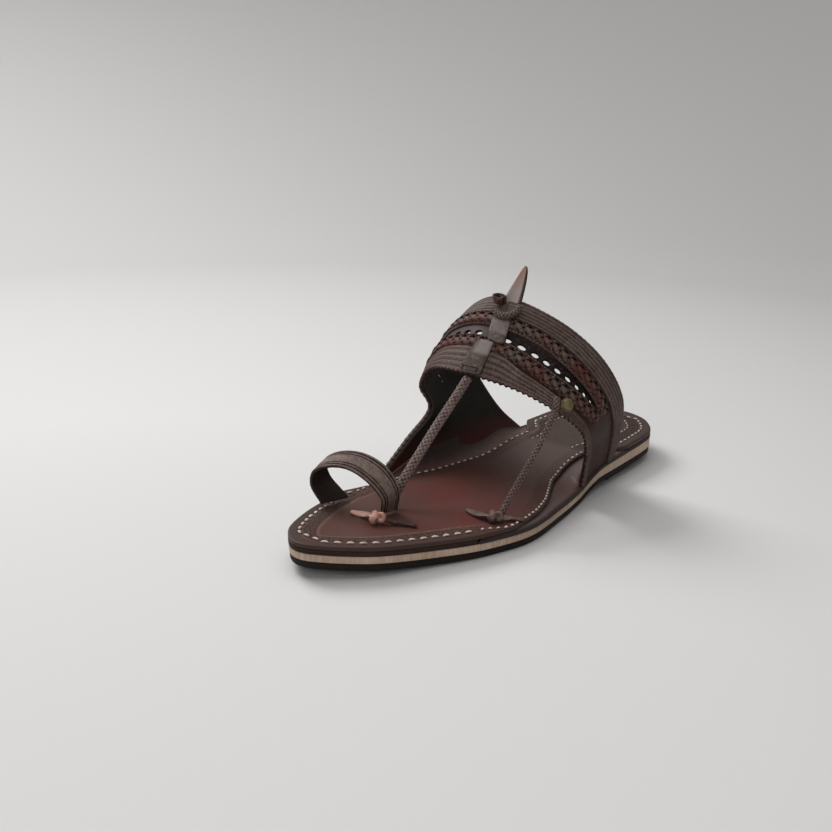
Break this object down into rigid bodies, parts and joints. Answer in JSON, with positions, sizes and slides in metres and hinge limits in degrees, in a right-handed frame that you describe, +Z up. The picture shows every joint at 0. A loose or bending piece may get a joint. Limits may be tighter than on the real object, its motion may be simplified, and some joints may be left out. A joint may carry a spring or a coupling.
{
  "type": "kolhapuri sandal",
  "caption": "Flat layered leather sandal, left foot: wide perforated instep band on side ears, toe loop, braided thongs from the footbed and a leaf-shaped tip on the crown.",
  "frame": {"origin": "middle of the sandal's bounding box at the floor that the sole stands on", "axes": "+Z up, the toe points to -Y, the outer side of the foot is +X"},
  "size_m": [0.104, 0.28, 0.1273],
  "materials": {
    "outsole_leather": "matte",
    "midsole_leather": "satin",
    "base_leather": "satin",
    "footbed_leather": "satin",
    "upper_leather": "satin",
    "strap_leather": "satin",
    "braid_leather": "satin",
    "leaf_leather": "satin",
    "knot_leather": "satin",
    "rivet_brass": "satin"
  },
  "bodies": {
    "root": {"outsole": "outsole_leather", "heel_lift": "outsole_leather", "midsole": "midsole_leather", "insole_base": "base_leather", "footbed": "footbed_leather", "upper": "upper_leather", "centre_strap_front": "strap_leather", "centre_strap_rear": "strap_leather", "braided_collar": "braid_leather", "leaf_tip": "leaf_leather", "rolled_curl": "leaf_leather", "rivet": "rivet_brass", "toe_loop": "upper_leather", "toe_thong": "braid_leather", "side_thong": "braid_leather", "toe_knot": "knot_leather", "side_knot": "braid_leather"}
  },
  "joints": []
}
